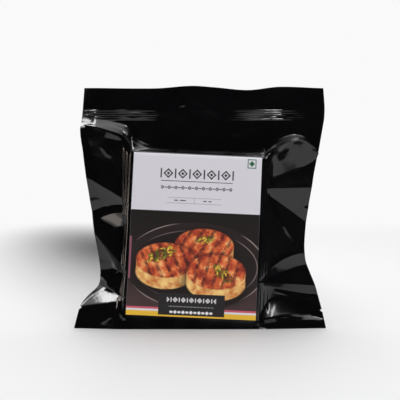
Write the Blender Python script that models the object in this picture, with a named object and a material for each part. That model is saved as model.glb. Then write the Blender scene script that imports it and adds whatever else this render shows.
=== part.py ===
"""A block of cheese vacuum packed in a black film pouch, standing on its folded bottom edge.

Two pieces: the pouch, drawn tight round the block, and the paper label on its front.
The pouch is laid out flat, in millimetres, on three axes: u runs across it to the right,
v runs up it from the bottom edge, and w comes forward out of it from its middle plane.
It is then leant back and turned into metres.
"""

import math
from collections import namedtuple

import bmesh
import bpy

MM = 0.001
COLLECTION = "vacuum_packed_cheese"
CUTTERS = "cutters"

# The block of cheese inside, which gives the pouch its form
BLOCK_WIDTH = 79.5
BLOCK_HEIGHT = 99.5
BLOCK_THICKNESS = 23.5
BLOCK_CENTRE_U = -3.3
BLOCK_CENTRE_V = 52.5
BLOCK_TURN = math.radians(-2.6)
EDGE_ROUND = 2.6
TOP_ROUND = 4.0

# The pouch
LEAN = math.radians(6.0)
FLAP_THICKNESS = 0.8
BASE_HALF_DEPTH = 10.4
TOP_DIP = 3.6
SEAL_BOTTOM = 121.6
SEAL_TOP = 128.3
SEAL_RIBS = 5
RIB_DEPTH = 0.22
MOUTH_WAVE = 0.9

# Outline of the pouch's sides, as (v, u), and of its mouth, as (u, v)
LEFT_SIDE = (
    (0.0, -73.1), (12.4, -70.0), (17.2, -66.7), (22.7, -60.9), (28.6, -59.4), (38.8, -60.1),
    (57.1, -63.3), (81.6, -67.1), (102.0, -70.0), (116.5, -71.7), (143.0, -69.8),
)
RIGHT_SIDE = (
    (0.0, 73.1), (9.6, 71.4), (22.1, 68.4), (32.9, 64.5), (39.0, 62.6), (46.0, 62.1),
    (60.7, 63.6), (85.8, 67.5), (107.4, 72.2), (125.5, 75.1), (143.0, 74.6),
)
MOUTH = (
    (-75.0, 141.3), (-28.0, 141.2), (-6.0, 142.7), (8.5, 141.7), (29.0, 140.0),
    (48.4, 142.1), (75.0, 141.3),
)

# Folds of the film beside the block, from the bottom up. Each leaves the block's side at a
# height over its bottom corner and meets the pouch's edge at v = rim. Reach is the share of
# that way over which the front film comes down to the flap: long on a ridge, short in a
# valley. Wave is how far the flap itself is creased forward there.
Fold = namedtuple("Fold", "side rim reach wave")
LEFT_FOLDS = (
    Fold(11.9, 12.9, 0.98, 0.0),
    Fold(12.5, 22.4, 0.24, -0.5),
    Fold(14.3, 28.2, 0.72, 0.6),
    Fold(24.9, 31.3, 0.22, -0.6),
    Fold(32.3, 52.4, 0.90, 1.0),
    Fold(48.5, 55.6, 0.24, -0.6),
    Fold(59.3, 60.3, 0.80, 0.7),
    Fold(65.1, 66.1, 0.22, -0.6),
    Fold(70.0, 87.6, 0.88, 1.0),
    Fold(86.0, 104.0, 0.55, 0.0),
)
RIGHT_FOLDS = (
    Fold(3.7, 7.2, 0.98, 0.0),
    Fold(22.7, 17.1, 0.26, -0.5),
    Fold(25.1, 24.1, 0.80, 0.6),
    Fold(26.1, 34.1, 0.26, -0.6),
    Fold(27.4, 41.7, 0.88, 0.8),
    Fold(45.0, 48.0, 0.50, 0.0),
    Fold(62.0, 55.0, 0.42, -0.3),
    Fold(77.6, 61.9, 0.24, -0.6),
    Fold(80.0, 82.8, 0.90, 1.0),
    Fold(89.6, 99.6, 0.28, -0.5),
)
# The folds that run out from the block's two upper corners bow upwards on their way
CORNER_BOW = 4.0
BOW_PEAK = 0.22
# The pouch's two lower corners are drawn forward, as (v, w) along its sides
SIDE_FORWARD = ((0.0, 8.8), (13.0, 5.6), (23.0, 1.2), (32.0, 0.0), (145.0, 0.0))
LEFT_CORNER_RIM = 119.4
RIGHT_CORNER_RIM = 113.4

# Tear notches in the two sides
NOTCH_HEIGHTS = (("left", 11.6), ("right", 9.7))
NOTCH_DEPTH = 2.0
NOTCH_WIDTH = 2.2

# The label
LABEL_WIDTH = 75.0
LABEL_HEIGHT = 94.0
LABEL_RISE = 1.2
LABEL_THICKNESS = 0.3
LABEL_GAP = 0.3
LABEL_COLUMNS = 2
LABEL_ROWS = 128

# How finely the film is divided
FACE_COLUMNS = 6
ROWS_BETWEEN_FOLDS = 2
WALL_STEPS = (0.2, 0.4, 0.6, 0.8, 1.0)
FLAP_STEPS = (0.33, 0.67, 1.0)
FLAP_ROWS = 4
MOUTH_ROWS = 4

HALF_BLOCK = BLOCK_THICKNESS / 2
HALF_FLAP = FLAP_THICKNESS / 2
SIDE_POINTS = 3 + len(WALL_STEPS) + len(FLAP_STEPS)


def blend(a, b, share):
    return a + (b - a) * share


def smooth_through(points, x):
    """Height at x of a smooth curve through points, with the slope at each point that of
    the line between its two neighbours."""
    last = len(points) - 1
    index = 0
    while index < last - 1 and x > points[index + 1][0]:
        index += 1

    def slope(i):
        before = points[max(i - 1, 0)]
        after = points[min(i + 1, last)]
        return (after[1] - before[1]) / (after[0] - before[0])

    start = points[index]
    end = points[index + 1]
    span = end[0] - start[0]
    t = (x - start[0]) / span
    rise = slope(index) * span * t * (1 - t) ** 2 - slope(index + 1) * span * t * t * (1 - t)
    return start[1] + (end[1] - start[1]) * t * t * (3 - 2 * t) + rise


def side_edge(side, v):
    return smooth_through(LEFT_SIDE if side < 0 else RIGHT_SIDE, v)


def on_block(x, y):
    """A place on the block, from its own centre, as (u, v) on the pouch."""
    u = BLOCK_CENTRE_U + x * math.cos(BLOCK_TURN) - y * math.sin(BLOCK_TURN)
    v = BLOCK_CENTRE_V + x * math.sin(BLOCK_TURN) + y * math.cos(BLOCK_TURN)
    return u, v


# A row of the film runs across the pouch. It crosses the block at a height y over the
# block's centre, which may differ at its two sides, where the film stands at w = height.
# Floor is 1 on the row that lies on the floor, and bow lifts the row beside the block.
Row = namedtuple("Row", "left right y_left y_right height floor bow")


def block_rows():
    """The rows from the floor up to where the film has come down above the block."""
    bottom = -BLOCK_HEIGHT / 2
    top = BLOCK_HEIGHT / 2
    ear = Fold(0, 0, 1.0, 0)

    def lower_row(y, rim, height, floor=0.0):
        fold = ear._replace(rim=rim)
        return Row(fold, fold, y, y, height, floor, 0)

    rows = [
        lower_row(bottom - 3.0, 0.0, BASE_HALF_DEPTH, 1.0),
        lower_row(bottom, 2.4, HALF_BLOCK - 0.5 * EDGE_ROUND),
        lower_row(bottom + 0.4 * EDGE_ROUND, 4.0, HALF_BLOCK - 0.15 * EDGE_ROUND),
        lower_row(bottom + EDGE_ROUND, 6.0, HALF_BLOCK),
    ]
    for left, right in zip(LEFT_FOLDS, RIGHT_FOLDS):
        rows.append(Row(left, right, bottom + left.side, bottom + right.side, HALF_BLOCK, 0, 0))

    def corner_row(y, rim_drop, height, reach, bow):
        left = Fold(0, LEFT_CORNER_RIM - rim_drop, reach, 0.5)
        right = Fold(0, RIGHT_CORNER_RIM - rim_drop, reach, 0.5)
        return Row(left, right, y, y, height, 0, bow * CORNER_BOW)

    rows += [
        corner_row(top - TOP_ROUND, 3.6, HALF_BLOCK, 0.80, 0.5),
        corner_row(top - 0.3 * TOP_ROUND, 1.6, HALF_BLOCK - 0.3 * TOP_ROUND, 0.88, 0.8),
        corner_row(top, 0.0, HALF_BLOCK - TOP_ROUND, 0.94, 1.0),
        corner_row(top + 0.35 * TOP_DIP, -0.5, 0.45 * HALF_BLOCK, 0.80, 1.05),
        corner_row(top + TOP_DIP, -1.8, HALF_FLAP, 0.50, 1.1),
    ]
    return rows


def side_run(row, side, face):
    """Points of one row beside the block, from its face out to the pouch's edge."""
    fold = row.left if side < 0 else row.right
    y = row.y_left if side < 0 else row.y_right
    half = BLOCK_WIDTH / 2
    lift = 1 - row.floor
    edge_u, edge_v = on_block(side * half, y)
    edge_v *= lift
    rim_u = side_edge(side, fold.rim)
    forward = smooth_through(SIDE_FORWARD, fold.rim)
    reach = fold.reach
    if face < 0:
        reach = blend(min(max(1.1 - fold.reach, 0.3), 0.8), fold.reach, row.floor)
    shoulder = max(row.height - EDGE_ROUND * lift, HALF_FLAP)

    def film(share, height):
        peak = share / BOW_PEAK if share < BOW_PEAK else (1 - share) / (1 - BOW_PEAK)
        u = blend(edge_u, rim_u, share)
        v = blend(edge_v, fold.rim, share) + row.bow * peak
        middle = forward * share + fold.wave * math.sin(math.pi * share)
        return u, v, middle + face * (HALF_FLAP + height)

    run = []
    for inset, drop in ((1.0, 0.0), (0.35, 0.25)):
        u, v = on_block(side * (half - inset * EDGE_ROUND), y)
        height = max(row.height - drop * EDGE_ROUND * lift, HALF_FLAP)
        run.append((u, v * lift, face * height))
    run.append((edge_u, edge_v, face * shoulder))
    hug = blend(1.5, 1.0, fold.reach)
    for step in WALL_STEPS:
        run.append(film(step * reach, (shoulder - HALF_FLAP) * (1 - step) ** hug))
    for step in FLAP_STEPS:
        run.append(film(blend(reach, 1.0, step), 0.0))
    return run


def block_row_points(row, face):
    """All points of one row that crosses the block, from the left edge to the right."""
    left = side_run(row, -1, face)
    right = side_run(row, 1, face)
    inner = []
    for column in range(1, FACE_COLUMNS):
        share = column / FACE_COLUMNS
        inner.append(tuple(blend(p, q, share) for p, q in zip(left[0], right[0])))
    return left[::-1] + inner + right


def row_between(low, high, share):
    """A row part of the way from one fold to the next, with its ends on the outline."""
    row = [tuple(blend(p, q, share) for p, q in zip(a, b)) for a, b in zip(low, high)]
    for side, ends in ((-1, row[:SIDE_POINTS]), (1, row[::-1][:SIDE_POINTS])):
        rim_u, rim_v, _ = ends[0]
        slip = side_edge(side, rim_v) - rim_u
        for number, (u, v, w) in enumerate(ends):
            ends[number] = (u + slip * (1 - number / SIDE_POINTS), v, w)
        if side < 0:
            row[:SIDE_POINTS] = ends
        else:
            row[-SIDE_POINTS:] = ends[::-1]
    return row


def upper_rows(foot, face):
    """Rows from above the block, through the seal, to the mouth. Foot is the row below."""
    left_u = foot[0][0]
    width = foot[-1][0] - left_u
    shares = [(point[0] - left_u) / width for point in foot]
    rows = []

    def straight_row(height_at, wave_at):
        row = []
        for share in shares:
            v = height_at(blend(side_edge(-1, SEAL_TOP), side_edge(1, SEAL_TOP), share))
            u = blend(side_edge(-1, v), side_edge(1, v), share)
            row.append((u, v, wave_at(u) + face * HALF_FLAP))
        return row

    seal = straight_row(lambda u: SEAL_BOTTOM, lambda u: 0.0)
    for number in range(1, FLAP_ROWS):
        share = number / FLAP_ROWS
        rows.append([
            tuple(blend(p, q, share) for p, q in zip(low, high)) for low, high in zip(foot, seal)
        ])
    steps = 2 * SEAL_RIBS
    for number in range(steps + 1):
        v = blend(SEAL_BOTTOM, SEAL_TOP, number / steps)
        crest = RIB_DEPTH * (number % 2)
        rows.append(straight_row(lambda u, v=v: v, lambda u, crest=crest: crest))
    for number in range(1, MOUTH_ROWS + 1):
        share = number / MOUTH_ROWS
        rows.append(straight_row(
            lambda u, share=share: blend(SEAL_TOP, smooth_through(MOUTH, u), share),
            lambda u, share=share: MOUTH_WAVE * share * math.sin(u / 14.0),
        ))
    return rows


def film_points(face):
    """Rows of points over one whole side of the pouch: the front where face is 1."""
    guides = [block_row_points(row, face) for row in block_rows()]
    rows = []
    for low, high in zip(guides, guides[1:]):
        for number in range(ROWS_BETWEEN_FOLDS):
            rows.append(row_between(low, high, number / ROWS_BETWEEN_FOLDS))
    rows.append(guides[-1])
    return rows + upper_rows(rows[-1], face)


def place(point):
    """A point of the laid-out pouch, leant back and in metres."""
    u, v, w = point
    return u * MM, (v * math.tan(LEAN) - w) * MM, v * MM


def pouch_mesh():
    """Two grids, one for each film, joined round their edges."""
    mesh = bmesh.new()
    borders = []
    for face in (1, -1):
        rows = film_points(face)
        columns = len(rows[0])
        grid = bmesh.ops.create_grid(mesh, x_segments=columns - 1, y_segments=len(rows) - 1, size=1)
        for vertex, point in zip(grid["verts"], (point for row in rows for point in row)):
            vertex.co = place(point)
        borders += [
            edge for vertex in grid["verts"] for edge in vertex.link_edges
            if edge.is_boundary and edge.verts[0] is vertex
        ]
    bmesh.ops.bridge_loops(mesh, edges=borders)
    bmesh.ops.recalc_face_normals(mesh, faces=mesh.faces)
    return mesh


def label_mesh():
    """The label: a thin sheet over the block's face, with its top edge turned back."""
    mesh = bmesh.new()
    borders = []
    flat_top = BLOCK_HEIGHT / 2 - TOP_ROUND
    bend = TOP_ROUND + LABEL_GAP
    for layer in (LABEL_THICKNESS, 0):
        grid = bmesh.ops.create_grid(mesh, x_segments=LABEL_COLUMNS, y_segments=LABEL_ROWS, size=0.5)
        for vertex in grid["verts"]:
            y = LABEL_RISE + vertex.co.y * LABEL_HEIGHT
            w = HALF_BLOCK + LABEL_GAP + layer
            if y > flat_top:
                angle = (y - flat_top) / bend
                radius = bend + layer
                y = flat_top + radius * math.sin(angle)
                w -= radius * (1 - math.cos(angle))
            vertex.co = place((*on_block(vertex.co.x * LABEL_WIDTH, y), w))
        borders += [
            edge for vertex in grid["verts"] for edge in vertex.link_edges
            if edge.is_boundary and edge.verts[0] is vertex
        ]
    bmesh.ops.bridge_loops(mesh, edges=borders)
    bmesh.ops.recalc_face_normals(mesh, faces=mesh.faces)
    return mesh


def collection_named(name):
    collection = bpy.data.collections.new(name)
    bpy.context.scene.collection.children.link(collection)
    return collection


def new_object(name, mesh, collection):
    data = bpy.data.meshes.new(name)
    mesh.to_mesh(data)
    mesh.free()
    item = bpy.data.objects.new(name, data)
    collection.objects.link(item)
    return item


def finish(item, colour, roughness, coat):
    material = bpy.data.materials.new(item.name)
    material.use_nodes = True
    shader = material.node_tree.nodes["Principled BSDF"]
    shader.inputs["Base Color"].default_value = (*colour, 1)
    shader.inputs["Roughness"].default_value = roughness
    shader.inputs["Coat Weight"].default_value = coat
    item.data.materials.append(material)
    item.data.shade_smooth()
    item.data.set_sharp_from_angle(angle=math.radians(30))


def cut_notch(pouch, side, height, cutters):
    """A tear notch: a three-sided prism through the pouch's edge, with one corner inwards."""
    mesh = bmesh.new()
    bmesh.ops.create_cone(mesh, cap_ends=True, segments=3, radius1=1, radius2=1, depth=1)
    edge = side_edge(side, height)
    for vertex in mesh.verts:
        u = edge - side * vertex.co.y * NOTCH_DEPTH
        v = height + vertex.co.x * NOTCH_WIDTH * math.sqrt(3) / 2
        vertex.co = place((u, v, vertex.co.z * BLOCK_THICKNESS))
    bmesh.ops.recalc_face_normals(mesh, faces=mesh.faces)
    name = "left" if side < 0 else "right"
    cutter = new_object("notch_cutter_" + name, mesh, cutters)
    cutter.hide_render = True
    cutter.display_type = "WIRE"
    cut = pouch.modifiers.new("notch_" + name, "BOOLEAN")
    cut.operation = "DIFFERENCE"
    cut.solver = "EXACT"
    cut.object = cutter


def centre_on_base(items):
    """Moves the pieces together, so that the origin is under the middle of their box."""
    corners = [vertex.co for item in items for vertex in item.data.vertices]
    middle_x = (min(c.x for c in corners) + max(c.x for c in corners)) / 2
    middle_y = (min(c.y for c in corners) + max(c.y for c in corners)) / 2
    for item in items:
        item.location = (-middle_x, -middle_y, 0)
    return middle_x, middle_y


def build():
    for item in list(bpy.data.objects):
        bpy.data.objects.remove(item)
    parts = collection_named(COLLECTION)
    cutters = collection_named(CUTTERS)
    pouch = new_object("pouch", pouch_mesh(), parts)
    label = new_object("label", label_mesh(), parts)
    finish(pouch, (0.004, 0.004, 0.005), 0.12, 1.0)
    finish(label, (0.70, 0.69, 0.71), 0.45, 0.0)
    for name, height in NOTCH_HEIGHTS:
        cut_notch(pouch, -1 if name == "left" else 1, height, cutters)
    middle_x, middle_y = centre_on_base((pouch, label))
    for cutter in cutters.objects:
        cutter.location = (-middle_x, -middle_y, 0)


build()
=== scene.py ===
"""Looks of a block of cheese, vacuum packed in glossy black film with a paper label.

The pouch is laid out flat, in millimetres, on three axes, as its solid is: u runs across it
to the right, v runs up it from the bottom edge, and w comes forward out of its middle plane.
"""

import math
from collections import namedtuple

import bpy
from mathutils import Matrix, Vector, noise


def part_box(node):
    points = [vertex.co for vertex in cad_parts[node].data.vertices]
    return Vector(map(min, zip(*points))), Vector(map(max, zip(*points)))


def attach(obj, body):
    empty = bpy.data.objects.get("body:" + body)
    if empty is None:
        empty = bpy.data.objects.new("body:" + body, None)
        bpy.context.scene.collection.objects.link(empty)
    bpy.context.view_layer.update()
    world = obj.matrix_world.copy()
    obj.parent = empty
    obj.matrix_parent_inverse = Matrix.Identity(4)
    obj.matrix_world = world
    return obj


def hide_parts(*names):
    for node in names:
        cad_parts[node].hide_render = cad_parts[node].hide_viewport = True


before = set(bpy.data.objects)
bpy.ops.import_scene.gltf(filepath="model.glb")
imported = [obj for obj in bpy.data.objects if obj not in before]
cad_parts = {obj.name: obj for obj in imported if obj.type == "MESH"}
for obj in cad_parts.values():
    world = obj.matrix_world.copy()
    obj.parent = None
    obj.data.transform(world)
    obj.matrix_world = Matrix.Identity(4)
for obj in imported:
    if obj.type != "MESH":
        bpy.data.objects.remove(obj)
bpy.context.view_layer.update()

MM = 0.001

# The block inside the pouch
BLOCK_WIDTH = 79.5
BLOCK_HEIGHT = 99.5
HALF_BLOCK = 11.75
BLOCK_CENTRE_U = -3.3
BLOCK_CENTRE_V = 52.5
BLOCK_TURN = math.radians(-2.6)
EDGE_ROUND = 2.6
TOP_ROUND = 4.0

# The pouch
LEAN = math.radians(6.0)
HALF_FLAP = 0.3
BASE_FRONT = 12.0
BASE_BACK = 10.4
TOP_DIP = 2.6
SEAL_BOTTOM = 121.6
SEAL_TOP = 128.3
SEAL_RIBS = 5
MOUTH_WAVE = 0.9
MOUTH_DEPTH = 2.5
MOUTH_FOOT = 138.0
LIP_THICKNESS = 0.12

# Depth of the seal's ribs, and where the seal is pressed deeper, as (u, half length)
RIB_DEPTH = 0.07
RIB_PRESS = 0.55
PRESSED_PLACES = ((-68.0, 8.0), (-41.0, 10.0), (38.0, 11.0))
# The pressed ribs are streaky along their length: mean depth, contrast and length of a streak
STREAK_DEPTH = 0.6
STREAK_CONTRAST = 0.9
STREAK_LENGTH = 9.0
# The seal's left end is bent back from this place outwards, by this slope. The bend starts at
# this height, takes this much to come in, and fades by this share for each mm above the seal.
BEND_START = -63.2
BEND_SLOPE = 0.30
BEND_FOOT = 116.0
BEND_EASE = 4.0
BEND_FADE = 0.04

# The label
LABEL_WIDTH = 75.0
LABEL_HEIGHT = 94.0
LABEL_RISE = 1.2
LABEL_THICKNESS = 0.24
LABEL_FRONT = 12.35
LABEL_GRID = (75, 188)

# The label's print, in millimetres from its middle. Colours are as they look, from 0 to 255.
LIGHT_ON_LABEL = 0.8
PRINT_EDGE = 0.22
PAPER = (201, 198, 205)
BLACK_INK = (38, 34, 36)
BOX_INK = (32, 30, 30)
PICTURE_LOW = -47.0
PICTURE_HIGH = 13.6
PLATE_MIDDLE = (1.0, -17.5)
PLATE_RADII = (41.0, 25.0)
# Round slices, as (x, y, turn of their grill marks)
SLICES = ((6.0, -6.0, -32.0), (-16.0, -15.0, 24.0), (13.5, -20.5, -12.0))
SLICE_RADII = (17.0, 10.0)
SLICE_THICKNESS = 6.5
GRILL_PITCH = 5.6
GRILL_WIDTH = 1.9
# Heaps of chopped herbs, as (middle, radii, turn)
HERBS = (
    ((-18.5, -11.5), (9.5, 4.0), 24.0),
    ((17.0, -21.0), (8.0, 3.4), -38.0),
    ((7.0, -2.0), (6.0, 2.6), 8.0),
)
# How ragged a heap is, and how far out it starts and ends to thin out
HEAP_FRAY = 1.1
HEAP_EDGE = (1.35, 1.5)
# Leaves in two layers, as (turn from the heap's, length), and how wide a leaf is for its length
LEAVES = ((38, 3.4), (-47, 2.8))
LEAF_WIDTH = 0.42
LEAF_EDGE = (0.34, 0.46)
# Plain bars from the lowest to the topmost: x, y, width, height, ink
PLAIN_BARS = (
    (-36.75, -14.0, 1.1, 24.4, (131, 75, 88)),
    (0.0, -45.6, LABEL_WIDTH, 2.8, (222, 175, 43)),
    (0.0, -43.6, LABEL_WIDTH, 1.2, (212, 206, 208)),
    (0.0, -42.45, LABEL_WIDTH, 1.1, (190, 80, 100)),
    (0.1, -39.9, 38.2, 12.4, BOX_INK),
    (0.0, 31.1, 42.0, 0.4, BLACK_INK),
    (-1.0, 21.5, 32.0, 0.2, (120, 118, 124)),
    (-1.0, 18.3, 32.0, 0.2, (120, 118, 124)),
    (-1.0, 19.9, 0.2, 3.2, (120, 118, 124)),
    (-11.6, 19.9, 2.2, 0.7, (92, 90, 96)),
    (-7.6, 19.9, 3.4, 0.7, (92, 90, 96)),
    (5.2, 19.9, 2.0, 0.7, (92, 90, 96)),
    (8.2, 19.9, 1.8, 0.7, (92, 90, 96)),
    (31.75, 43.0, 5.1, 5.4, (26, 92, 58)),
    (31.75, 43.0, 4.1, 4.4, PAPER),
    (31.75, 43.0, 1.3, 2.9, (26, 92, 58)),
    (31.75, 43.0, 2.9, 1.3, (26, 92, 58)),
)
# Friezes of diamonds. Spot is a share of the height, and post the size of the bars between.
DiamondRow = namedtuple("DiamondRow", "y height width period stroke spot post ink ground")
DIAMOND_ROWS = (
    DiamondRow(35.5, 5.8, 42.8, 8.4, 0.75, 0.24, (0.8, 5.6), BLACK_INK, PAPER),
    DiamondRow(27.3, 2.4, 41.6, 4.0, 0.42, 0.20, (1.5, 0.5), BLACK_INK, PAPER),
    DiamondRow(-37.3, 3.0, 28.4, 4.7, 0.50, 0.24, (0.55, 2.6), (214, 212, 214), BOX_INK),
    DiamondRow(-41.1, 0.9, 26.0, 2.0, 0.25, 0.30, (0.7, 0.35), (150, 148, 150), BOX_INK),
    DiamondRow(-44.3, 2.3, 25.0, 4.6, 0.60, 0.25, (1.7, 1.2), (220, 218, 220), BOX_INK),
)

# Outline of the pouch's sides, as (v, u), and of its mouth, as (u, v)
LEFT_SIDE = (
    (0.0, -73.1), (12.4, -70.0), (17.2, -66.7), (22.7, -60.9), (28.6, -59.4), (38.8, -60.1),
    (57.1, -63.3), (81.6, -67.1), (102.0, -70.0), (116.5, -71.7), (143.0, -69.8),
)
RIGHT_SIDE = (
    (0.0, 73.1), (9.6, 71.4), (22.1, 68.4), (32.9, 64.5), (39.0, 62.6), (46.0, 62.1),
    (60.7, 63.6), (85.8, 67.5), (107.4, 72.2), (125.5, 75.1), (143.0, 74.6),
)
MOUTH = (
    (-75.0, 141.3), (-28.0, 141.2), (-6.0, 142.7), (8.5, 141.7), (29.0, 140.0),
    (48.4, 142.1), (75.0, 141.3),
)

# Folds beside the block, from the bottom up: height on the block's side, height at the
# pouch's edge, how far the film stands off the flap at the foot of the block's wall, share
# of the way over which it comes down to the flap, how far forward the pouch's edge is there,
# how far the fold bows upwards on its way, and the share of the way where that is most
Fold = namedtuple("Fold", "side rim knee reach crest bow peak", defaults=(0.0, 0.5))
LEFT_FOLDS = (
    Fold(11.4, 11.8, 6.8, 1.00, 6.4),
    Fold(12.5, 23.0, 5.0, 0.80, -2.4, 0.4),
    Fold(13.6, 29.0, 6.2, 0.85, -0.6, -0.8),
    Fold(24.9, 31.3, 1.0, 0.30, -1.2, 2.0),
    Fold(29.0, 54.3, 4.6, 0.94, 1.8),
    Fold(56.0, 57.0, 0.8, 0.34, 1.0, -2.2),
    Fold(61.4, 60.3, 4.8, 0.80, 0.7, 2.4),
    Fold(66.4, 66.2, 3.0, 0.60, -2.0, 1.8),
    Fold(67.6, 87.6, 4.4, 0.92, 2.5),
    Fold(84.0, 103.0, 4.6, 0.84, 2.2, 1.0),
    Fold(94.0, 112.5, 5.4, 0.88, 3.1, 3.2),
)
RIGHT_FOLDS = (
    Fold(3.7, 6.0, 11.0, 0.80, 6.4, 1.6),
    Fold(5.8, 11.0, 3.9, 0.70, 5.0, 9.0, 0.26),
    Fold(24.0, 17.9, 4.6, 0.90, 2.4, -0.4),
    Fold(25.1, 23.8, 7.0, 0.97, 3.4),
    Fold(26.1, 35.5, 6.6, 0.90, -0.2, 0.6),
    Fold(27.4, 42.5, 6.35, 0.97, 1.6, 3.5),
    Fold(45.0, 49.0, 7.0, 0.95, 0.0),
    Fold(62.0, 54.5, 7.2, 0.97, -0.8),
    Fold(78.2, 60.4, 5.0, 0.97, -2.2),
    Fold(79.8, 81.9, 5.6, 0.97, 2.2),
    Fold(85.0, 98.8, 4.4, 0.75, -1.0, -3.0),
)
# Share of the way at which the wall of the block ends
KNEE = 0.17
# Upright wrinkles of the wall: depth as a share of its own, the right wall's share of that,
# how many there are, and over what height they change
WALL_WRINKLE = 0.06
RIGHT_WRINKLE = 0.3
WALL_WRINKLES = 2.5
WRINKLE_HEIGHT = 18.0
# How much of the rounding of the block's edge is left where the film comes down slowly
LEAST_ROUND = 0.35
# How far forward the pouch's two lower corners are, how far below the block the base is laid
# out, and how high on the right edge the rows below the first fold may end, as a share of it
CORNER_CREST = 8.6
BASE_DROP = 3.0
RIGHT_FOOT = 0.8

# The back film's folds come down late where those in front come down early. Its knee goes from
# the first share of its height to the second, and is the third on the floor.
BACK_KNEE = (0.2, 0.75)
BACK_KNEE_ON_FLOOR = 0.83
BACK_REACH_SUM = 1.15
BACK_REACH_LEAST = 0.4
BACK_REACH_MOST = 0.8

# The folds that run out from the block's upper corners: height at the pouch's edge, how far
# they bow upwards, where that is most, how far the pouch's edge is forward, how wide the
# slope behind them is along the way and how wide at the pouch's edge, how far the film is
# drawn up there over the block's top, and how far it stands off the flap
Corner = namedtuple("Corner", "rim bow peak crest slope flare tent stand")
LEFT_CORNER = Corner(119.0, 4.8, 0.24, 3.4, 1.4, 6.4, 8.0, 0.93)
RIGHT_CORNER = Corner(101.8, 8.8, 0.64, 1.4, 0.8, 0.8, 2.0, 1.5)
# Over what length the drawn-up film falls off inwards from the block's edge
TENT_LENGTH = 5.0

# How much a stretch of film between two folds sags, for each millimetre between their heights
SAG = 0.05

# Unevenness, as (depth, length across, length upwards): soft waves and small ripples of the
# film, and waves of the label. Over the block, out to a margin, the film keeps this share of
# it, and at its foot it comes in over this height.
WAVES = (0.30, 17.0, 13.0)
RIPPLES = (0.09, 4.5, 6.0)
LABEL_WAVES = (0.16, 20.0, 26.0)
CALM = 0.15
CALM_MARGIN = 1.0
CALM_FOOT = 4.0

# Small creases: from (u, v) to (u, v), how far forward they stand, and how wide they are
Crease = namedtuple("Crease", "start end height width")
CREASES = (
    Crease((-59.6, 107.2), (-53.4, 99.0), 0.5, 1.0),
    Crease((-57.0, 111.2), (-45.5, 108.0), -1.0, 2.4),
    Crease((-46.5, 16.5), (-48.4, 9.4), 0.55, 0.55),
    Crease((-48.2, 10.4), (-57.5, 2.6), 0.5, 0.55),
    Crease((-47.6, 12.0), (-43.6, 5.0), 0.5, 0.55),
    Crease((-54.0, 34.2), (-47.0, 31.4), -0.5, 1.1),
    Crease((-66.0, 16.2), (-57.0, 19.6), 0.2, 0.5),
    Crease((-9.7, 128.5), (-9.7, 142.0), 0.9, 0.5),
    Crease((-16.0, 129.6), (-9.2, 131.4), 0.4, 0.6),
    Crease((-22.0, 123.0), (-12.0, 112.0), 0.5, 2.2),
    Crease((14.0, 112.0), (40.0, 121.0), 0.35, 2.4),
    Crease((45.8, 100.4), (54.0, 107.4), -1.6, 1.6),
    Crease((51.0, 112.2), (59.5, 112.6), 0.25, 1.0),
    Crease((43.0, 71.0), (59.5, 44.0), 0.35, 0.9),
    Crease((47.0, 66.0), (53.0, 52.0), 0.25, 1.2),
    Crease((43.5, 21.0), (58.5, 16.0), 0.16, 0.6),
    Crease((43.0, 7.6), (61.0, 6.0), 0.5, 0.7),
    Crease((64.0, 2.0), (72.4, 4.6), 0.35, 0.5),
    Crease((50.0, 83.4), (66.0, 84.6), 0.06, 0.5),
)

# Tear notches in the two sides, as (side, v). Each is moved outwards by a share of its depth.
NOTCHES = ((-1, 11.6), (1, 9.7))
NOTCH_DEPTH = 2.0
NOTCH_WIDTH = 2.2
NOTCH_SHIFT = 0.35

# How finely the film is divided
FACE_COLUMNS = 56
ROUND_STEPS = 5
KNEE_STEPS = 14
WALL_STEPS = 18
FLAP_STEPS = 10
ROW_PITCH = 0.7
FEWEST_ROWS = 3
MOST_ROWS = 28
FLAP_ROWS = 26
RIB_ROWS = 6
MOUTH_ROWS = 20
SIDE_POINTS = ROUND_STEPS + 1 + KNEE_STEPS + WALL_STEPS + FLAP_STEPS

# Where the laid-out pouch stands, from the boxes of the frame's own nodes
pouch_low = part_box("pouch")[0]
label_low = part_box("label")[0]
SHIFT_X = pouch_low[0] + 73.1 * MM
SHIFT_Y = label_low[1] - (label_low[2] * math.tan(LEAN) - LABEL_FRONT * MM)


def blend(a, b, share):
    return a + (b - a) * share


def ease(share):
    share = min(max(share, 0.0), 1.0)
    return share * share * (3 - 2 * share)


def smooth_through(points, x):
    """Height at x of a smooth curve through points."""
    last = len(points) - 1
    index = 0
    while index < last - 1 and x > points[index + 1][0]:
        index += 1

    def slope(i):
        before = points[max(i - 1, 0)]
        after = points[min(i + 1, last)]
        return (after[1] - before[1]) / (after[0] - before[0])

    start = points[index]
    end = points[index + 1]
    span = end[0] - start[0]
    t = (x - start[0]) / span
    rise = slope(index) * span * t * (1 - t) ** 2 - slope(index + 1) * span * t * t * (1 - t)
    return start[1] + (end[1] - start[1]) * t * t * (3 - 2 * t) + rise


def side_edge(side, v):
    return smooth_through(LEFT_SIDE if side < 0 else RIGHT_SIDE, v)


def on_block(x, y):
    u = BLOCK_CENTRE_U + x * math.cos(BLOCK_TURN) - y * math.sin(BLOCK_TURN)
    v = BLOCK_CENTRE_V + x * math.sin(BLOCK_TURN) + y * math.cos(BLOCK_TURN)
    return u, v


def place(u, v, w):
    """A point of the laid-out pouch, leant back, where it stands, in metres."""
    return Vector((u * MM + SHIFT_X, (v * math.tan(LEAN) - w) * MM + SHIFT_Y, v * MM))


def lumps(u, v, kind, seed):
    """Soft unevenness of a kind, in millimetres. Each seed gives another lie of it."""
    depth, across, upwards = kind
    return depth * noise.noise(Vector((u / across, v / upwards, seed)))


def deselect():
    bpy.ops.object.select_all(action="DESELECT")


def only(item):
    deselect()
    item.select_set(True)
    bpy.context.view_layer.objects.active = item


# The film

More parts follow.
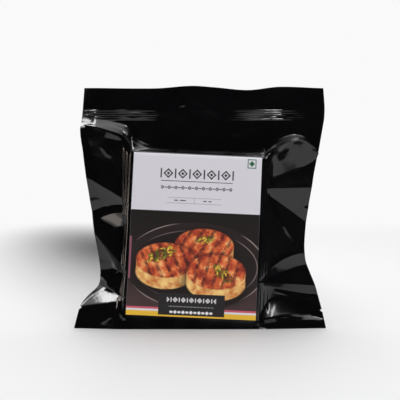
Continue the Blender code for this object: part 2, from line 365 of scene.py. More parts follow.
# Two folds, their places on the block's sides, how far forward the row is over the block, 1 for
# the row on the floor, and how much of the corners' tents the row takes, upwards and forwards
Row = namedtuple("Row", "left right y_left y_right height floor tent puff", defaults=(0.0, 0.0))


def block_rows():
    """The folds, as rows across the pouch, from the floor up to just above the block."""
    bottom = -BLOCK_HEIGHT / 2
    top = BLOCK_HEIGHT / 2

    def ear(first, rim, height):
        crest = blend(CORNER_CREST, first.crest, rim / first.rim)
        return Fold(0, rim, height * (1 - KNEE), 1.0, crest)

    def lower_row(y, rim, height, floor=0.0):
        left = ear(LEFT_FOLDS[0], rim, height)
        right = ear(RIGHT_FOLDS[0], min(rim, RIGHT_FOOT * RIGHT_FOLDS[0].rim), height)
        return Row(left, right, y, y, height, floor)

    def corner_fold(corner, rise, knee, reach, forward):
        rim_slope, bow_slope = corner.slope, corner.slope
        if rise > 0:
            rim_slope = corner.flare
            bow_slope = 2 * corner.slope - corner.flare / 2
        rim = corner.rim + rise * rim_slope
        bow = corner.bow + rise * bow_slope
        crest = corner.crest * forward
        return Fold(0, rim, knee * corner.stand, reach, crest, bow, corner.peak)

    def corner_row(y, rise, height, knee, reach, forward, tent=0.0, puff=0.0):
        left = corner_fold(LEFT_CORNER, rise, knee, reach, forward)
        right = corner_fold(RIGHT_CORNER, rise, knee, reach, forward)
        return Row(left, right, y, y, height, 0, tent, puff)

    rows = [
        lower_row(bottom - BASE_DROP, 0.0, BASE_FRONT, floor=1.0),
        lower_row(bottom, 2.0, blend(BASE_FRONT, HALF_BLOCK, 0.7)),
        lower_row(bottom + 0.4 * EDGE_ROUND, 3.4, blend(BASE_FRONT, HALF_BLOCK, 0.85)),
        lower_row(bottom + EDGE_ROUND, 4.8, HALF_BLOCK),
    ]
    for left, right in zip(LEFT_FOLDS, RIGHT_FOLDS):
        rows.append(
            Row(left, right, bottom + left.side, bottom + right.side, HALF_BLOCK, 0)
        )
    face = HALF_BLOCK
    rows += [
        corner_row(top - TOP_ROUND, -0.65, face, 6.0, 0.90, 1.0),
        corner_row(top - 0.6 * TOP_ROUND, -0.35, face - 0.08 * TOP_ROUND, 6.1, 0.92, 1.0),
        corner_row(top - 0.3 * TOP_ROUND, -0.15, face - 0.3 * TOP_ROUND, 6.2, 0.94, 1.0, puff=0.05),
        corner_row(top, 0.0, face - TOP_ROUND, 5.8, 0.96, 1.0, tent=0.05, puff=0.36),
        corner_row(top + 0.35 * TOP_DIP, 0.35, 0.5 * face, 4.0, 0.80, 0.6, tent=0.62, puff=0.36),
        corner_row(top + TOP_DIP, 1.0, HALF_FLAP, 0.2, 0.80, -0.1, tent=1.0),
    ]
    return rows


def back_fold(row, fold):
    """Height over the block, knee and reach of a row of the back film."""
    height = blend(min(row.height, HALF_BLOCK), BASE_BACK, row.floor)
    knee = blend(*BACK_KNEE, 1 - fold.knee / HALF_BLOCK) * height
    reach = min(max(BACK_REACH_SUM - fold.reach, BACK_REACH_LEAST), BACK_REACH_MOST)
    knee = blend(knee, BACK_KNEE_ON_FLOOR * height, row.floor)
    return height, knee, blend(reach, 1.0, row.floor)


def side_run(row, side, face):
    """Points of one row beside the block, from its face out to the pouch's edge."""
    fold = row.left if side < 0 else row.right
    y = row.y_left if side < 0 else row.y_right
    corner = LEFT_CORNER if side < 0 else RIGHT_CORNER
    tent = row.tent * corner.tent
    half = BLOCK_WIDTH / 2
    lift = 1 - row.floor
    edge_u, edge_v = on_block(side * half, y)
    edge_v *= lift
    rim_u = side_edge(side, fold.rim)
    puff = row.puff * corner.tent * max(face, 0)
    height, knee, reach = row.height, fold.knee, fold.reach
    if face < 0:
        height, knee, reach = back_fold(row, fold)
    fall = EDGE_ROUND * lift * blend(1.0, LEAST_ROUND, fold.reach)
    shoulder = max(height - fall - HALF_FLAP, 0) + puff
    knee = min(knee, shoulder)

    def film(share, above):
        span = fold.peak if share < fold.peak else 1 - fold.peak
        bow = 1 - (share - fold.peak) ** 2 / span ** 2
        u = blend(edge_u, rim_u, share)
        v = blend(edge_v, fold.rim, share) + fold.bow * bow + tent * (1 - share) ** 2
        return u, v, fold.crest * share + face * (HALF_FLAP + above)

    uneven = WALL_WRINKLE if fold.side else 0.0
    if side > 0:
        uneven *= RIGHT_WRINKLE
    run = []
    for number in range(ROUND_STEPS):
        angle = math.pi / 2 * number / ROUND_STEPS
        u, v = on_block(side * (half - EDGE_ROUND * (1 - math.sin(angle))), y)
        w = max(height - fall * (1 - math.cos(angle)), HALF_FLAP)
        inwards = math.exp(-EDGE_ROUND * (1 - math.sin(angle)) / TENT_LENGTH)
        run.append((u, v * lift + tent * inwards, face * (w + puff * inwards)))
    run.append((edge_u, edge_v + tent, face * (shoulder + HALF_FLAP)))
    for number in range(1, KNEE_STEPS + 1):
        step = number / KNEE_STEPS
        wander = 1.0 + noise.noise(Vector((edge_v / WRINKLE_HEIGHT, side * 4.0, 2.0)))
        wrinkle = uneven * wander * math.sin(2 * math.pi * WALL_WRINKLES * step)
        run.append(film(step * KNEE, blend(shoulder, knee, step + wrinkle)))
    for number in range(1, WALL_STEPS + 1):
        step = number / WALL_STEPS
        run.append(film(blend(KNEE, reach, step), knee * (1 - step)))
    for number in range(1, FLAP_STEPS + 1):
        run.append(film(blend(reach, 1.0, number / FLAP_STEPS), 0.0))
    return run


def block_row_points(row, face):
    left = side_run(row, -1, face)
    right = side_run(row, 1, face)
    start_u, end_u = left[0][0], right[0][0]

    def drawn(u):
        """How far the corners' tents reach here, in millimetres."""
        from_left = math.exp(-(u - start_u + EDGE_ROUND) / TENT_LENGTH)
        from_right = math.exp(-(end_u - u + EDGE_ROUND) / TENT_LENGTH)
        return LEFT_CORNER.tent * from_left + RIGHT_CORNER.tent * from_right

    puff = row.puff * max(face, 0)
    feet = [
        (v - row.tent * drawn(u), face * w - puff * drawn(u))
        for u, v, w in (left[0], right[0])
    ]
    inner = []
    for column in range(1, FACE_COLUMNS):
        share = column / FACE_COLUMNS
        u = blend(start_u, end_u, share)
        v, w = (blend(p, q, share) for p, q in zip(*feet))
        inner.append((u, v + row.tent * drawn(u), face * (w + puff * drawn(u))))
    return left[::-1] + inner + right


def row_between(low, high, share):
    """A row part of the way from one fold to the next, with its ends on the outline."""
    row = []
    for start, end in zip(low, high):
        u, v, w = (blend(p, q, share) for p, q in zip(start, end))
        sag = SAG * 4 * share * (1 - share) * abs(end[2] - start[2])
        row.append((u, v, w - math.copysign(sag, w)))
    for side, ends in ((-1, row[:SIDE_POINTS]), (1, row[::-1][:SIDE_POINTS])):
        rim_u, rim_v, _ = ends[0]
        slip = side_edge(side, rim_v) - rim_u
        for number, (u, v, w) in enumerate(ends):
            ends[number] = (u + slip * (1 - number / SIDE_POINTS), v, w)
        if side < 0:
            row[:SIDE_POINTS] = ends
        else:
            row[-SIDE_POINTS:] = ends[::-1]
    return row


def upper_rows(foot, face):
    """Rows from above the block, through the seal, to the mouth. Foot is the row below."""
    left_u = foot[0][0]
    width = foot[-1][0] - left_u
    shares = [(point[0] - left_u) / width for point in foot]
    rows = []

    def straight_row(height_at, wave_at):
        row = []
        for share in shares:
            v = height_at(blend(side_edge(-1, SEAL_TOP), side_edge(1, SEAL_TOP), share))
            u = blend(side_edge(-1, v), side_edge(1, v), share)
            row.append((u, v, wave_at(u) + face * HALF_FLAP))
        return row

    seal = straight_row(lambda u: SEAL_BOTTOM, lambda u: 0.0)
    for number in range(1, FLAP_ROWS):
        rows.append([
            tuple(blend(p, q, number / FLAP_ROWS) for p, q in zip(low, high))
            for low, high in zip(foot, seal)
        ])
    steps = RIB_ROWS * SEAL_RIBS
    for number in range(steps + 1):
        v = blend(SEAL_BOTTOM, SEAL_TOP, number / steps)
        rows.append(straight_row(lambda u, v=v: v, lambda u, v=v: seal_rib(u, v)))
    for number in range(1, MOUTH_ROWS + 1):
        share = number / MOUTH_ROWS
        rows.append(straight_row(
            lambda u, share=share: blend(SEAL_TOP, smooth_through(MOUTH, u), share),
            lambda u, share=share: MOUTH_WAVE * share * math.sin(u / 14.0),
        ))
    return rows


def seal_rib(u, v):
    """How far forward the seal's ribs stand, deeper where the seal was pressed harder."""
    place_in_seal = (v - SEAL_BOTTOM) / (SEAL_TOP - SEAL_BOTTOM) * SEAL_RIBS
    rib = math.floor(place_in_seal)
    pressed = sum(math.exp(-((u - at) / half) ** 2) for at, half in PRESSED_PLACES)
    streaks = STREAK_DEPTH + STREAK_CONTRAST * noise.noise(Vector((u / STREAK_LENGTH, rib * 7.3, 0)))
    depth = RIB_DEPTH + RIB_PRESS * pressed * max(streaks, 0)
    return depth / 2 * (1 - math.cos(2 * math.pi * place_in_seal))


def crease_height(crease, u, v):
    along = (crease.end[0] - crease.start[0], crease.end[1] - crease.start[1])
    length = math.hypot(*along)
    from_start = (u - crease.start[0], v - crease.start[1])
    share = (from_start[0] * along[0] + from_start[1] * along[1]) / length ** 2
    off = (from_start[0] * along[1] - from_start[1] * along[0]) / length
    if not 0 < share < 1 or abs(off) > 3 * crease.width:
        return 0.0
    taper = ease(min(share, 1 - share) * 4)
    return crease.height * taper * math.exp(-(off / crease.width) ** 2)


def relief(u, v):
    """Fine shape of the film: small creases, soft waves and the seal's bent end."""
    on_seal = ease((v - BEND_FOOT) / BEND_EASE) * (1 - BEND_FADE * max(v - SEAL_TOP, 0))
    bend = -BEND_SLOPE * max(BEND_START - u, 0) * on_seal
    waves = lumps(u, v, WAVES, 3.0)
    ripples = lumps(u, v, RIPPLES, 8.0)
    half_width = BLOCK_WIDTH / 2 + CALM_MARGIN
    over_block = abs(u - BLOCK_CENTRE_U) < half_width and v < BLOCK_CENTRE_V + BLOCK_HEIGHT / 2
    calm = CALM if over_block else 1.0
    creases = sum(crease_height(crease, u, v) for crease in CREASES)
    return bend + calm * (waves + ripples) + creases


def rows_to(low, high):
    """How many rows fit from one fold up to the next."""
    gaps = [abs(low[end][1] - high[end][1]) for end in (0, SIDE_POINTS, -SIDE_POINTS, -1)]
    return min(max(round(sum(gaps) / len(gaps) / ROW_PITCH), FEWEST_ROWS), MOST_ROWS)


def film_rows(face):
    guides = [block_row_points(row, face) for row in block_rows()]
    rows = []
    for low, high in zip(guides, guides[1:]):
        count = rows_to(low, high)
        for number in range(count):
            rows.append(row_between(low, high, number / count))
    rows.append(guides[-1])
    return rows + upper_rows(rows[-1], face)


def film_sheet(name, face):
    """One film: a flat grid, drawn over the block, the flaps and the seal."""
    rows = film_rows(face)
    columns = len(rows[0]) - 1
    deselect()
    bpy.ops.mesh.primitive_grid_add(x_subdivisions=columns, y_subdivisions=len(rows) - 1, size=2)
    sheet = bpy.context.active_object
    sheet.name = name
    for vertex, point in zip(sheet.data.vertices, (point for row in rows for point in row)):
        u, v, w = point
        vertex.co = place(u, v, w + relief(u, v) * ease(v / CALM_FOOT))
    return sheet


def open_mouth(pouch):
    """Parts the two films along the mouth, down to a little below it."""
    only(pouch)
    bpy.ops.object.mode_set(mode="EDIT")
    bpy.ops.mesh.select_mode(type="FACE")
    bpy.ops.mesh.select_all(action="DESELECT")
    bpy.ops.object.mode_set(mode="OBJECT")
    for face in pouch.data.polygons:
        faces_up = face.normal.z > 0.6
        face.select = faces_up and face.center.z > MOUTH_FOOT * MM
    bpy.ops.object.mode_set(mode="EDIT")
    bpy.ops.mesh.inset(thickness=LIP_THICKNESS * MM)
    bpy.ops.mesh.extrude_region_move(TRANSFORM_OT_translate={"value": (0, 0, -MOUTH_DEPTH * MM)})
    bpy.ops.object.mode_set(mode="OBJECT")


def cut_notch(pouch, side, height):
    """A tear notch: a three-sided prism through the pouch's edge, with one corner inwards."""
    deselect()
    bpy.ops.mesh.primitive_cylinder_add(vertices=3, radius=1, depth=1, location=(0, 0, 0))
    cutter = bpy.context.active_object
    edge = side_edge(side, height)
    for vertex in cutter.data.vertices:
        u = edge - side * (vertex.co.y * NOTCH_DEPTH - NOTCH_SHIFT * NOTCH_DEPTH)
        v = height + vertex.co.x * NOTCH_WIDTH
        vertex.co = place(u, v, vertex.co.z * 4 * HALF_BLOCK)
    bpy.ops.object.mode_set(mode="EDIT")
    bpy.ops.mesh.select_all(action="SELECT")
    bpy.ops.mesh.normals_make_consistent(inside=False)
    bpy.ops.object.mode_set(mode="OBJECT")
    only(pouch)
    cut = pouch.modifiers.new("notch", "BOOLEAN")
    cut.operation = "DIFFERENCE"
    cut.solver = "EXACT"
    cut.object = cutter
    bpy.ops.object.modifier_apply(modifier="notch")
    bpy.data.objects.remove(cutter)


def make_pouch():
    front = film_sheet("pouch_film", 1)
    back = film_sheet("pouch_back", -1)
    deselect()
    back.select_set(True)
    front.select_set(True)
    bpy.context.view_layer.objects.active = front
    bpy.ops.object.join()
    bpy.ops.object.mode_set(mode="EDIT")
    bpy.ops.mesh.select_mode(type="EDGE")
    bpy.ops.mesh.select_all(action="DESELECT")
    bpy.ops.mesh.select_non_manifold()
    bpy.ops.mesh.bridge_edge_loops()
    bpy.ops.mesh.select_all(action="SELECT")
    bpy.ops.mesh.normals_make_consistent(inside=False)
    bpy.ops.object.mode_set(mode="OBJECT")
    open_mouth(front)
    for side, height in NOTCHES:
        cut_notch(front, side, height)
    only(front)
    bpy.ops.object.shade_smooth_by_angle(angle=math.radians(50))
    return front


# The label

def make_label():
    deselect()
    columns, rows = LABEL_GRID
    bpy.ops.mesh.primitive_grid_add(x_subdivisions=columns, y_subdivisions=rows, size=1)
    label = bpy.context.active_object
    label.name = "label_paper"
    flat_top = BLOCK_HEIGHT / 2 - TOP_ROUND
    bend = TOP_ROUND + LABEL_FRONT - HALF_BLOCK
    for vertex in label.data.vertices:
        x = vertex.co.x * LABEL_WIDTH
        y = LABEL_RISE + vertex.co.y * LABEL_HEIGHT
        w = LABEL_FRONT + lumps(x, y, LABEL_WAVES, 1.0)
        if y > flat_top:
            angle = (y - flat_top) / bend
            y = flat_top + bend * math.sin(angle)
            w -= bend * (1 - math.cos(angle))
        vertex.co = place(*on_block(x, y), w)
    only(label)
    thickness = label.modifiers.new("paper", "SOLIDIFY")
    thickness.thickness = LABEL_THICKNESS * MM
    thickness.offset = -1
    bpy.ops.object.modifier_apply(modifier="paper")
    bpy.ops.object.shade_smooth_by_angle(angle=math.radians(50))
    return label


# Materials

def new_material(name):
    material = bpy.data.materials.new(name)
    material.use_nodes = True
    return material, material.node_tree, material.node_tree.nodes["Principled BSDF"]


def math_node(tree, operation, *values):
    node = tree.nodes.new("ShaderNodeMath")
    node.operation = operation
    for socket, value in zip(node.inputs, values):
        if isinstance(value, (int, float)):
            socket.default_value = value
        else:
            tree.links.new(value, socket)
    return node.outputs[0]


def ramp(tree, value, start, end, low, high):
    """A number that goes smoothly from low to high as value goes from start to end."""
    node = tree.nodes.new("ShaderNodeMapRange")
    node.interpolation_type = "SMOOTHSTEP"
    tree.links.new(value, node.inputs["Value"])
    for name, number in zip(("From Min", "From Max", "To Min", "To Max"), (start, end, low, high)):
        node.inputs[name].default_value = number
    return node.outputs["Result"]


def film_material():
    material, tree, shader = new_material("black_film")
    shader.inputs["Base Color"].default_value = (0.0025, 0.0025, 0.003, 1)
    shader.inputs["IOR"].default_value = 1.57
    place_on = tree.nodes.new("ShaderNodeTexCoord")
    stretch = tree.nodes.new("ShaderNodeMapping")
    stretch.inputs["Scale"].default_value = (1.0, 1.0, 0.35)
    haze = tree.nodes.new("ShaderNodeTexNoise")
    haze.inputs["Scale"].default_value = 60.0
    haze.inputs["Detail"].default_value = 3.0
    roughness = tree.nodes.new("ShaderNodeMapRange")
    roughness.inputs["From Min"].default_value = 0.35
    roughness.inputs["From Max"].default_value = 0.75
    roughness.inputs["To Min"].default_value = 0.09
    roughness.inputs["To Max"].default_value = 0.2
    grain = tree.nodes.new("ShaderNodeTexNoise")
    grain.inputs["Scale"].default_value = 420.0
    grain.inputs["Detail"].default_value = 2.0
    bump = tree.nodes.new("ShaderNodeBump")
    bump.inputs["Strength"].default_value = 0.12
    bump.inputs["Distance"].default_value = 0.0004
    tree.links.new(place_on.outputs["Object"], haze.inputs["Vector"])
    tree.links.new(haze.outputs[0], roughness.inputs["Value"])
    tree.links.new(roughness.outputs["Result"], shader.inputs["Roughness"])
    tree.links.new(place_on.outputs["Object"], stretch.inputs["Vector"])
    tree.links.new(stretch.outputs["Vector"], grain.inputs["Vector"])
    tree.links.new(grain.outputs[0], bump.inputs["Height"])
    tree.links.new(bump.outputs["Normal"], shader.inputs["Normal"])
    return material


def vector_node(tree, operation, *values):
    node = tree.nodes.new("ShaderNodeVectorMath")
    node.operation = operation
    for socket, value in zip(node.inputs, values):
        if isinstance(value, tuple):
            socket.default_value = value
        else:
            tree.links.new(value, socket)
    return node.outputs["Value" if operation == "LENGTH" else "Vector"]


def ink(red, green, blue):
    """Colour of paper that looks like this, from 0 to 255, in the studio's light."""
    linear = [((value / 255 + 0.055) / 1.055) ** 2.4 for value in (red, green, blue)]
    return (*(min(value / LIGHT_ON_LABEL, 1.0) for value in linear), 1)


def local_to(tree, sheet, middle, turn=0.0, scale=(1, 1)):
    """The sheet's own place, measured from a middle, turned by degrees, in units of scale."""
    node = tree.nodes.new("ShaderNodeMapping")
    node.vector_type = "TEXTURE"
    node.inputs["Location"].default_value = (*middle, 0)
    node.inputs["Rotation"].default_value = (0, 0, math.radians(turn))
    node.inputs["Scale"].default_value = (*scale, 1)
    tree.links.new(sheet, node.inputs["Vector"])
    return node.outputs["Vector"]


def repeated(tree, sheet, period):
    """The sheet again and again along x, with a middle at each period."""
    far = 10 * LABEL_HEIGHT
    return vector_node(tree, "WRAP", sheet, (period / 2, far, 1), (-period / 2, -far, -1))


def bar_mask(tree, sheet, middle, size, turn=0.0, corner=0.05):
    local = local_to(tree, sheet, middle, turn)
    inner = (*(side / 2 - corner - PRINT_EDGE / 2 for side in size), 0)
    outside = vector_node(tree, "SUBTRACT", vector_node(tree, "ABSOLUTE", local), inner)
    away = vector_node(tree, "LENGTH", vector_node(tree, "MAXIMUM", outside, (0, 0, 0)))
    return ramp(tree, away, corner, corner + PRINT_EDGE, 1.0, 0.0)


def oval_mask(tree, sheet, middle, radii, turn=0.0, soft=PRINT_EDGE):
    away = vector_node(tree, "LENGTH", local_to(tree, sheet, middle, turn, radii))
    margin = soft / min(radii)
    return ramp(tree, away, 1 - margin, 1 + margin, 1.0, 0.0)


def lay(tree, under, mask, colour):
    """Ink of one colour laid over what is printed already."""
    mix = tree.nodes.new("ShaderNodeMix")
    mix.data_type = "RGBA"
    tree.links.new(mask, mix.inputs[0])
    for socket, value in ((mix.inputs[6], under), (mix.inputs[7], colour)):
        if isinstance(value, tuple):
            socket.default_value = value
        else:
            tree.links.new(value, socket)
    return mix.outputs[2]


def mottle(tree, sheet, size, detail, inks):
    """Blotches of several inks, given as (level, ink), each about as large as size."""
    spots = tree.nodes.new("ShaderNodeTexNoise")
    spots.inputs["Scale"].default_value = 1 / size
    spots.inputs["Detail"].default_value = detail
    spots.inputs["Roughness"].default_value = 0.62
    tree.links.new(sheet, spots.inputs["Vector"])
    return ink_ramp(tree, spots.outputs[0], inks)


def ink_ramp(tree, level, inks):
    node = tree.nodes.new("ShaderNodeValToRGB")
    stops = node.color_ramp.elements
    for number, (position, colour) in enumerate(inks):
        stop = stops[number] if number < 2 else stops.new(1.0)
        stop.position = position
        stop.color = colour
    tree.links.new(level, node.inputs[0])
    return node.outputs["Color"]


def print_picture(tree, sheet, under):
    """Round grilled slices and chopped herbs on a dark plate."""
    axes = tree.nodes.new("ShaderNodeSeparateXYZ")
    tree.links.new(sheet, axes.inputs[0])
    height = ramp(tree, axes.outputs["Y"], PICTURE_LOW, PICTURE_HIGH, 0.0, 1.0)
    table = ink_ramp(tree, height, (
        (0.0, ink(66, 46, 46)), (0.6, ink(34, 22, 22)), (1.0, ink(24, 17, 17)),
    ))
    middle = (0, (PICTURE_LOW + PICTURE_HIGH) / 2)
    field = bar_mask(tree, sheet, middle, (LABEL_WIDTH, PICTURE_HIGH - PICTURE_LOW))
    under = lay(tree, under, field, table)

    glint = mottle(tree, sheet, 30.0, 0.0, ((0.42, ink(40, 28, 28)), (0.56, ink(150, 132, 128))))
    for shrink, colour in ((0.0, glint), (0.5, ink(36, 25, 25)), (4.6, glint), (4.9, ink(28, 19, 19))):
        radii = [radius - shrink for radius in PLATE_RADII]
        rim = oval_mask(tree, sheet, PLATE_MIDDLE, radii)
        under = lay(tree, under, math_node(tree, "MULTIPLY", rim, field), colour)

    browned = mottle(tree, sheet, 7.0, 5.0, (
        (0.30, ink(84, 18, 10)), (0.44, ink(160, 52, 24)),
        (0.55, ink(208, 98, 46)), (0.70, ink(244, 184, 118)),
    ))
    golden = mottle(tree, sheet, 5.0, 3.0, ((0.35, ink(190, 106, 44)), (0.62, ink(240, 192, 118))))
    wear = mottle(tree, sheet, 3.0, 3.0, ((0.38, (0.1, 0.1, 0.1, 1)), (0.56, (0.85, 0.85, 0.85, 1))))
    across, down = SLICE_RADII
    for x, y, turn in SLICES:
        foot = y - SLICE_THICKNESS
        for middle, spread, soft in (((x, foot - 1.0), 2.5, 3.0), ((x, y), 0.7, 1.4)):
            shadow = oval_mask(tree, sheet, middle, (across + spread, down + spread), soft=soft)
            under = lay(tree, under, shadow, ink(22, 9, 6))
        lower = oval_mask(tree, sheet, (x, foot), SLICE_RADII, soft=0.4)
        wall = bar_mask(tree, sheet, (x, (y + foot) / 2), (2 * across, SLICE_THICKNESS))
        under = lay(tree, under, math_node(tree, "MAXIMUM", lower, wall), golden)
        top = oval_mask(tree, sheet, (x, y), SLICE_RADII, soft=0.5)
        under = lay(tree, under, top, browned)
        bars = repeated(tree, local_to(tree, sheet, (x, y), turn), GRILL_PITCH)
        bar = bar_mask(tree, bars, (0, 0), (GRILL_WIDTH, 2 * across), corner=0.8)
        seared = math_node(tree, "MULTIPLY", math_node(tree, "MULTIPLY", bar, top), wear)
        under = lay(tree, under, seared, ink(66, 18, 10))
    return print_herbs(tree, sheet, under)


def print_herbs(tree, sheet, under):
    frayed = tree.nodes.new("ShaderNodeTexNoise")
    frayed.inputs["Scale"].default_value = 0.45
    tree.links.new(sheet, frayed.inputs["Vector"])
    for middle, radii, turn in HERBS:
        away = vector_node(tree, "LENGTH", local_to(tree, sheet, middle, turn, radii))
        ragged = math_node(tree, "MULTIPLY_ADD", frayed.outputs[0], HEAP_FRAY, away)
        heap = ramp(tree, ragged, *HEAP_EDGE, 1.0, 0.0)
        under = lay(tree, under, math_node(tree, "MULTIPLY", heap, 0.7), ink(58, 40, 12))
        for leaf_turn, length in LEAVES:
            size = (length, LEAF_WIDTH * length)
            # The turn shifts the leaves as well, so that no two heaps are alike
            stretched = local_to(tree, sheet, (turn + leaf_turn, 0), turn + leaf_turn, size)
            leaves = tree.nodes.new("ShaderNodeTexVoronoi")
            leaves.inputs["Scale"].default_value = 1.0
            tree.links.new(stretched, leaves.inputs["Vector"])
            leaf = ramp(tree, leaves.outputs["Distance"], *LEAF_EDGE, 1.0, 0.0)
            colours = ink_ramp(tree, leaves.outputs["Color"], (
                (0.25, ink(74, 92, 26)), (0.45, ink(150, 140, 38)),
                (0.62, ink(224, 186, 56)), (0.8, ink(206, 146, 44)),
            ))
            under = lay(tree, under, math_node(tree, "MULTIPLY", leaf, heap), colours)
    return under


def print_bars(tree, sheet, under):
    """Plain bars, stripes and boxes, one over another."""
    for x, y, width, height, colour in PLAIN_BARS:
        under = lay(tree, under, bar_mask(tree, sheet, (x, y), (width, height)), ink(*colour))
    return under


def print_diamonds(tree, sheet, under, row):
    """A frieze of diamond outlines round dots, with a bar between each two."""
    place_in_row = local_to(tree, sheet, (0, row.y))
    limit = bar_mask(tree, place_in_row, (0, 0), (row.width, 2 * row.height))
    between = local_to(tree, place_in_row, (row.period / 2, 0))
    side = row.height / math.sqrt(2)
    spot = row.height * row.spot
    diamonds = repeated(tree, place_in_row, row.period)
    inner = side - 2 * row.stroke
    for size, colour in ((side, row.ink), (inner, row.ground), (spot, row.ink)):
        mask = bar_mask(tree, diamonds, (0, 0), (size, size), 45.0)
        under = lay(tree, under, math_node(tree, "MULTIPLY", mask, limit), ink(*colour))
    post = bar_mask(tree, repeated(tree, between, row.period), (0, 0), row.post)
    return lay(tree, under, math_node(tree, "MULTIPLY", post, limit), ink(*row.ink))


def label_material():
    """Coated paper, printed with generic shapes in the places and colours of a food label."""
    material, tree, shader = new_material("printed_paper")
    shader.inputs["Roughness"].default_value = 0.42
    uv = tree.nodes.new("ShaderNodeUVMap")
    uv.uv_map = "UVMap"
    measured = tree.nodes.new("ShaderNodeMapping")
    measured.inputs["Location"].default_value = (-LABEL_WIDTH / 2, -LABEL_HEIGHT / 2, 0)
    measured.inputs["Scale"].default_value = (LABEL_WIDTH, LABEL_HEIGHT, 1)
    tree.links.new(uv.outputs["UV"], measured.inputs["Vector"])
    sheet = measured.outputs["Vector"]
    under = print_picture(tree, sheet, ink(*PAPER))
    under = print_bars(tree, sheet, under)
    for row in DIAMOND_ROWS:
        under = print_diamonds(tree, sheet, under, row)
    tree.links.new(under, shader.inputs["Base Color"])
    return material


# Studio

WARM = (1, 0.84, 0.72)


def area_light(name, at, aim, size, power, colour=(1, 1, 1), glossy=True, diffuse=True):
    data = bpy.data.lights.new(name, "AREA")
    data.shape = "RECTANGLE"
    data.size, data.size_y = size
    data.energy = power
    data.color = colour
    light = bpy.data.objects.new(name, data)
    bpy.context.scene.collection.objects.link(light)
    light.location = at
    light.rotation_euler = (Vector(aim) - Vector(at)).to_track_quat("-Z", "Y").to_euler()
    light.visible_camera = False
    light.visible_glossy = glossy
    light.visible_diffuse = diffuse


def studio_world():
    """Near white to the camera. Film mirrors a dark room in front and a pale wall behind."""
    world = bpy.data.worlds.new("studio")
    bpy.context.scene.world = world
    world.use_nodes = True
    tree = world.node_tree
    tree.nodes.clear()
    path = tree.nodes.new("ShaderNodeLightPath")
    direction = tree.nodes.new("ShaderNodeTexCoord")
    axes = tree.nodes.new("ShaderNodeSeparateXYZ")
    tree.links.new(direction.outputs["Generated"], axes.inputs[0])
    behind = ramp(tree, axes.outputs["Y"], 0.0, 0.5, 0.0, 1.0)
    low_wall = ramp(tree, axes.outputs["X"], -0.2, 0.5, 0.55, 0.1)
    height = ramp(tree, axes.outputs["Z"], 0.1, 0.7, 0.0, 1.0)
    wall = math_node(tree, "MULTIPLY_ADD", height, 2.2, low_wall)
    ceiling = ramp(tree, axes.outputs["Z"], 0.80, 0.97, 0.005, 1.8)
    mirrored = math_node(tree, "MULTIPLY_ADD", behind, wall, ceiling)
    glossy = tree.nodes.new("ShaderNodeMix")
    glossy.inputs[2].default_value = 0.62
    camera = tree.nodes.new("ShaderNodeMix")
    camera.inputs[3].default_value = 0.95
    background = tree.nodes.new("ShaderNodeBackground")
    output = tree.nodes.new("ShaderNodeOutputWorld")
    tree.links.new(path.outputs["Is Glossy Ray"], glossy.inputs[0])
    tree.links.new(mirrored, glossy.inputs[3])
    tree.links.new(path.outputs["Is Camera Ray"], camera.inputs[0])
    tree.links.new(glossy.outputs[0], camera.inputs[2])
    tree.links.new(camera.outputs[0], background.inputs["Color"])
    tree.links.new(background.outputs["Background"], output.inputs["Surface"])


def studio_floor():
    """A pale sweep, lit by the studio near the pack and as bright as the wall farther off."""
    deselect()
    bpy.ops.mesh.primitive_circle_add(vertices=96, radius=2.5, fill_type="NGON", location=(0, 0, 0))
    floor = bpy.context.active_object
    floor.name = "studio_floor"
    material, tree, shader = new_material("floor")
    shader.inputs["Roughness"].default_value = 0.6
    coordinates = tree.nodes.new("ShaderNodeTexCoord")
    axes = tree.nodes.new("ShaderNodeSeparateXYZ")
    tree.links.new(coordinates.outputs["Object"], axes.inputs[0])
    far = ramp(tree, axes.outputs["Y"], 0.2, 1.0, 0.0, 1.0)
    # A broad painted shade lies behind the pack, on its left: a soft dark oval darkens the floor's
    # colour and glow
    painted_shade = local_to(tree, coordinates.outputs["Object"], (-0.10, 0.42), 15.0, (0.175, 0.6))
    level = ramp(tree, vector_node(tree, "LENGTH", painted_shade), 0.0, 1.0, 0.0, 1.0)
    painted_shade_mix = tree.nodes.new("ShaderNodeMix")
    painted_shade_mix.data_type = "RGBA"
    painted_shade_mix.inputs[6].default_value = (0, 0, 0, 1)
    painted_shade_mix.inputs[7].default_value = (0.82, 0.82, 0.83, 1)
    tree.links.new(level, painted_shade_mix.inputs[0])
    tree.links.new(painted_shade_mix.outputs[2], shader.inputs["Base Color"])
    glow = tree.nodes.new("ShaderNodeEmission")
    glow.inputs["Color"].default_value = (1, 1, 1, 1)
    # The glow is darkened by the same painted shade
    tree.links.new(math_node(tree, "MULTIPLY", level, 0.95), glow.inputs["Strength"])
    mix = tree.nodes.new("ShaderNodeMixShader")
    tree.links.new(far, mix.inputs[0])
    tree.links.new(shader.outputs[0], mix.inputs[1])
    tree.links.new(glow.outputs[0], mix.inputs[2])
    tree.links.new(mix.outputs[0], tree.nodes["Material Output"].inputs["Surface"])
    floor.data.materials.append(material)


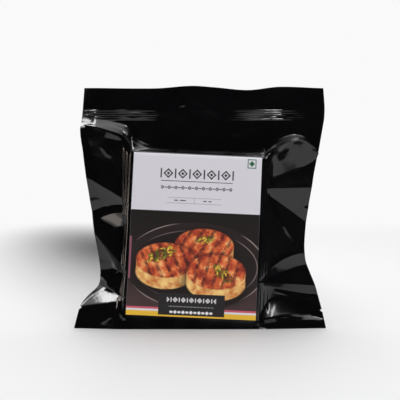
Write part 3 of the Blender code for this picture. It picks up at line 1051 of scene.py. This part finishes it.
def studio_lights():
    """Two soft lights for what is matt, and panels and cards that only the film mirrors."""
    middle = (0, 0, 0.07)
    area_light("ceiling", (0.1, 0.25, 0.9), middle, (1.2, 1.0), 4.9, glossy=False)
    area_light("key", (0.5, -1.0, 0.55), middle, (0.35, 0.35), 2.3, glossy=False)
    area_light("front_strip", (-0.25, -0.03, 0.75), middle, (0.36, 0.13), 1.7, diffuse=False)
    box_x, box_y = 0.175, -0.33
    area_light("right_box", (box_x, box_y, 0.75), (box_x, box_y, 0), (0.13, 0.3), 1.5, diffuse=False)
    area_light("left_panel", (-0.75, 0.25, 0.18), middle, (0.4, 0.5), 2.4, WARM, diffuse=False)
    card_x, card_y = -0.099, -0.077
    card_size = (0.036, 0.056)
    area_light(
        "warm_card", (card_x, card_y, 0.002), (card_x, card_y, 1), card_size, 0.0125, WARM,
        diffuse=False,
    )


def black_flag():
    """A dark board to the right of the pack, seen by the film's mirror alone."""
    deselect()
    bpy.ops.mesh.primitive_plane_add(size=1, location=(0.42, 0.2, 0.13), rotation=(0, math.pi / 2, 0))
    flag = bpy.context.active_object
    flag.name = "studio_flag"
    flag.scale = (0.26, 1.4, 1)
    material, _, shader = new_material("black_board")
    shader.inputs["Base Color"].default_value = (0.01, 0.01, 0.01, 1)
    shader.inputs["Roughness"].default_value = 1.0
    flag.data.materials.append(material)
    flag.visible_camera = False
    flag.visible_diffuse = False
    flag.visible_shadow = False


def photo_camera():
    target = Vector((SHIFT_X, 0.005 + SHIFT_Y, 0.0739))
    distance = 0.45
    elevation = math.radians(2.0)
    half_frame = 0.119
    data = bpy.data.cameras.new("camera")
    data.sensor_width = 36
    data.sensor_fit = "HORIZONTAL"
    data.lens = 18 * distance / half_frame
    camera = bpy.data.objects.new("camera", data)
    bpy.context.scene.collection.objects.link(camera)
    camera.location = target + distance * Vector((0, -math.cos(elevation), math.sin(elevation)))
    camera.rotation_euler = (target - camera.location).to_track_quat("-Z", "Y").to_euler()
    bpy.context.scene.camera = camera


photo_camera()
pouch = make_pouch()
pouch.data.materials.append(film_material())
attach(pouch, "root")
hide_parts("pouch")
label = make_label()
label.data.materials.append(label_material())
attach(label, "root")
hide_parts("label")
studio_world()
studio_floor()
studio_lights()
black_flag()
bpy.context.scene.view_settings.view_transform = "Standard"
